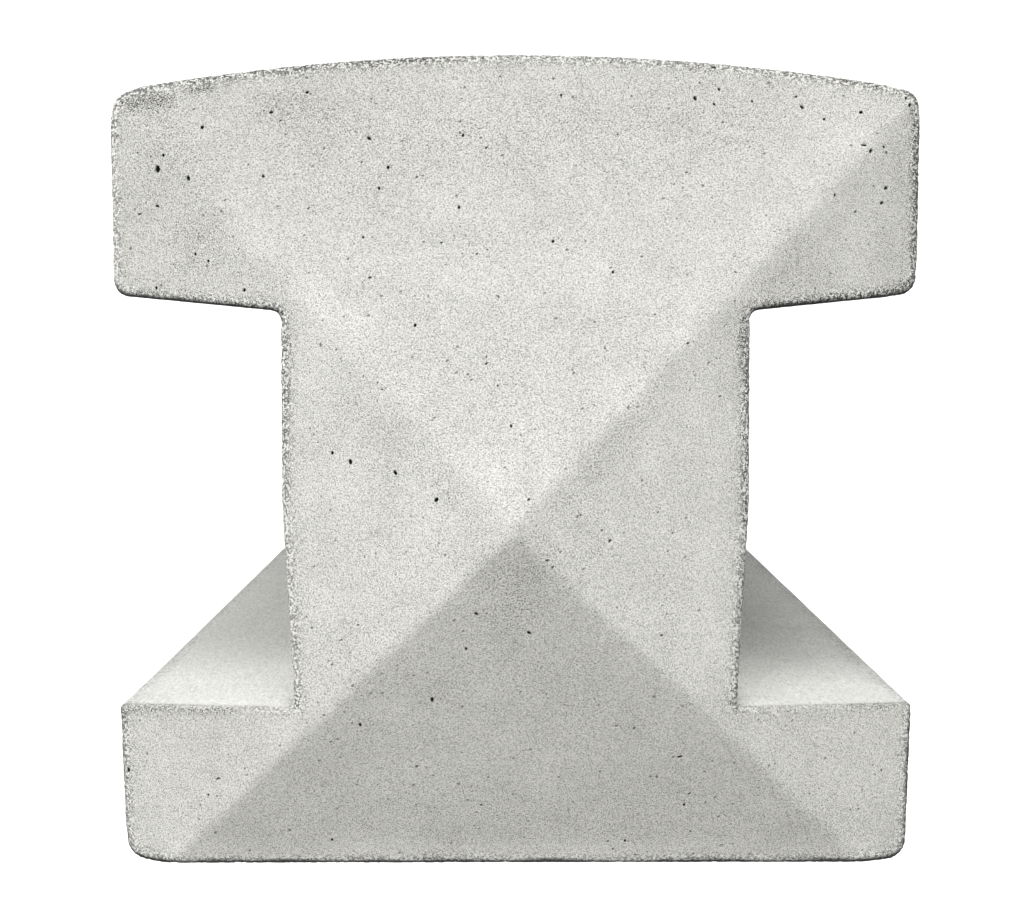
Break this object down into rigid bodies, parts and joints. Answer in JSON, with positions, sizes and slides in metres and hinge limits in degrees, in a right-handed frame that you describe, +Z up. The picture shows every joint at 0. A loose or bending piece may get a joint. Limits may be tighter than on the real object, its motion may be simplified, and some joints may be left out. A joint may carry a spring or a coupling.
{
  "type": "slotted concrete fence post",
  "caption": "Precast concrete fence post, H-shaped section with a tapered panel slot along each side, crowned back and four-sided weathered top.",
  "frame": {"origin": "middle of the foot: the centre of the section's bounding box, on the flat bottom end", "axes": "+Z up the post towards the weathered top, +Y towards the crowned, trowelled face, -Y towards the flat moulded face, panel slots open to +X and -X"},
  "size_m": [0.11, 0.11, 2.3598],
  "materials": {
    "concrete": "matte"
  },
  "bodies": {
    "root": {"post": "concrete"}
  },
  "joints": []
}
